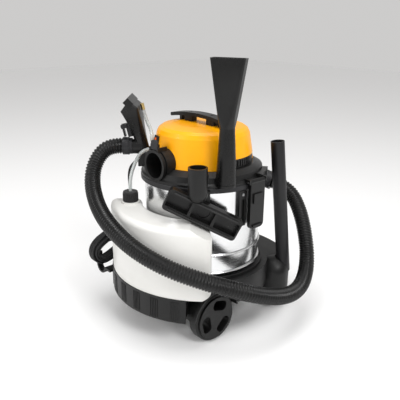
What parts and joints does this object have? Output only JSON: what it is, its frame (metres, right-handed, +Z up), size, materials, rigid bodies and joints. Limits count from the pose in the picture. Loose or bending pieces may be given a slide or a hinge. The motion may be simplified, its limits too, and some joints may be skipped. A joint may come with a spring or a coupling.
{
  "type": "wet and dry vacuum cleaner",
  "caption": "Wheeled spray-extraction wet and dry vacuum with a steel drum, motor head, water tank, hose and stowed tools.",
  "frame": {"origin": "on the floor, under the drum's axis and the middle of the machine without its cords", "axes": "+Z up, +Y to the rear with the water tank and big wheels, -Y to the front with the casters"},
  "size_m": [0.4953, 0.5573, 0.68],
  "materials": {
    "black_plastic": "moulded, fine grain",
    "grey_plastic": "moulded, fine grain",
    "yellow_plastic": "moulded, satin gloss",
    "steel_drum": "polished stainless",
    "steel": "turned",
    "white_tank": "blow moulded, translucent white",
    "rubber": "moulded",
    "clear_tube": "clear vinyl, drawn as translucent",
    "orange_plastic": "moulded",
    "brass": "turned",
    "aluminium": "cast",
    "filter_cloth": "felt"
  },
  "bodies": {
    "machine": {"base_tray": "black_plastic", "cable_hook": "black_plastic", "carry_handle": "black_plastic", "cuff_ring": "black_plastic", "drum": "steel_drum", "drum_seal": "rubber", "exhaust_grilles": "black_plastic", "fan_housing": "black_plastic", "feed_tube": "clear_tube", "filter_sleeve": "filter_cloth", "float_cage": "black_plastic", "handle_screws": "steel", "head_cover": "yellow_plastic", "head_lower": "black_plastic", "hose_cuff_inlet": "black_plastic", "hose_cuff_tool": "black_plastic", "keeper_screws": "steel", "latch_keepers": "black_plastic", "latch_pins": "steel", "lead_gland": "black_plastic", "lead_hank": "black_plastic", "lead_tail": "black_plastic", "mains_lead": "black_plastic", "mains_plug": "black_plastic", "port_collar": "black_plastic", "port_tab_bracket": "black_plastic", "rear_axle": "steel", "rim_ring": "black_plastic", "spray_duct": "black_plastic", "spray_jet": "brass", "spray_mouth": "black_plastic", "spray_tube": "clear_tube", "spray_valve": "black_plastic", "suction_hose": "black_plastic", "suction_inlet": "black_plastic", "switch_bezel": "grey_plastic", "tool_holder": "black_plastic", "vacuum_motor": "aluminium", "water_fitting": "black_plastic", "water_pump": "black_plastic", "water_tank": "white_tank"},
    "wheel_left_body": {"rear_wheel_left": "black_plastic"},
    "wheel_right_body": {"rear_wheel_right": "black_plastic"},
    "caster_left_fork": {"caster_fork_left": "black_plastic"},
    "caster_right_fork": {"caster_fork_right": "black_plastic"},
    "caster_left_wheel": {"caster_wheel_left": "grey_plastic"},
    "caster_right_wheel": {"caster_wheel_right": "grey_plastic"},
    "latch_left_body": {"latch_left": "black_plastic"},
    "latch_right_body": {"latch_right": "black_plastic"},
    "tank_cap_body": {"tank_cap": "black_plastic"},
    "port_tab_body": {"port_tab": "black_plastic"},
    "switch_body": {"power_switch": "orange_plastic"},
    "trigger_body": {"spray_trigger": "black_plastic"},
    "float_body": {"float_ball": "white_tank"},
    "rotor": {"motor_shaft": "steel", "suction_fan": "aluminium"},
    "tube_body": {"extension_tube": "black_plastic"},
    "upholstery_body": {"upholstery_nozzle": "black_plastic"},
    "floor_nozzle_body": {"floor_nozzle": "black_plastic", "nozzle_strips": "rubber"}
  },
  "joints": [
    {"name": "rear_wheel_left_spin", "type": "hinge", "parent": "machine", "child": "wheel_left_body", "pos_m": [0.148, 0.099, 0.062], "axis": [1, 0, 0], "continuous": true},
    {"name": "rear_wheel_right_spin", "type": "hinge", "parent": "machine", "child": "wheel_right_body", "pos_m": [-0.148, 0.099, 0.062], "axis": [1, 0, 0], "continuous": true},
    {"name": "caster_swivel_left", "type": "hinge", "parent": "machine", "child": "caster_left_fork", "pos_m": [0.135, -0.148, 0.07], "axis": [0, 0, 1], "continuous": true},
    {"name": "caster_swivel_right", "type": "hinge", "parent": "machine", "child": "caster_right_fork", "pos_m": [-0.135, -0.148, 0.07], "axis": [0, 0, 1], "continuous": true},
    {"name": "caster_roll_left", "type": "hinge", "parent": "caster_left_fork", "child": "caster_left_wheel", "pos_m": [0.135, -0.134, 0.022], "axis": [1, 0, 0], "continuous": true},
    {"name": "caster_roll_right", "type": "hinge", "parent": "caster_right_fork", "child": "caster_right_wheel", "pos_m": [-0.135, -0.134, 0.022], "axis": [1, 0, 0], "continuous": true},
    {"name": "latch_left_swing", "type": "hinge", "parent": "machine", "child": "latch_left_body", "pos_m": [0.167, -0.024, 0.392], "axis": [0, -1, 0], "range_deg": [0, 70]},
    {"name": "latch_right_swing", "type": "hinge", "parent": "machine", "child": "latch_right_body", "pos_m": [-0.167, -0.024, 0.392], "axis": [0, 1, 0], "range_deg": [0, 70]},
    {"name": "tank_cap_turn", "type": "hinge", "parent": "machine", "child": "tank_cap_body", "pos_m": [0.094, 0.164, 0.328], "axis": [0, 0, 1], "range_deg": [0, 360]},
    {"name": "port_tab_swing", "type": "hinge", "parent": "machine", "child": "port_tab_body", "pos_m": [0, 0.1545, 0.468], "axis": [-1, 0, 0], "range_deg": [0, 60], "stiffness_Nm_per_rad": 0.02},
    {"name": "power_switch_rock", "type": "hinge", "parent": "machine", "child": "switch_body", "pos_m": [0.04455, 0.11605, 0.47076], "axis": [-0.9336, 0.3584, 0], "range_deg": [-6, 6]},
    {"name": "spray_trigger_squeeze", "type": "hinge", "parent": "machine", "child": "trigger_body", "pos_m": [0.13746, 0.15116, 0.49909], "axis": [-0.7431, 0.6691, 0], "range_deg": [0, 6], "stiffness_Nm_per_rad": 0.5},
    {"name": "float_rise", "type": "slide", "parent": "machine", "child": "float_body", "axis": [0, 0, 1], "range_m": [0, 0.05]},
    {"name": "motor_spin", "type": "hinge", "parent": "machine", "child": "rotor", "pos_m": [0, 0, 0.45], "axis": [0, 0, 1], "continuous": true},
    {"name": "extension_tube_lift", "type": "slide", "parent": "machine", "child": "tube_body", "axis": [0.0669, 0.0735, 0.9951], "range_m": [0, 0.06]},
    {"name": "upholstery_nozzle_lift", "type": "slide", "parent": "machine", "child": "upholstery_body", "axis": [0, 0, 1], "range_m": [0, 0.06]},
    {"name": "floor_nozzle_lift", "type": "slide", "parent": "machine", "child": "floor_nozzle_body", "axis": [0, 0, 1], "range_m": [0, 0.02]}
  ]
}
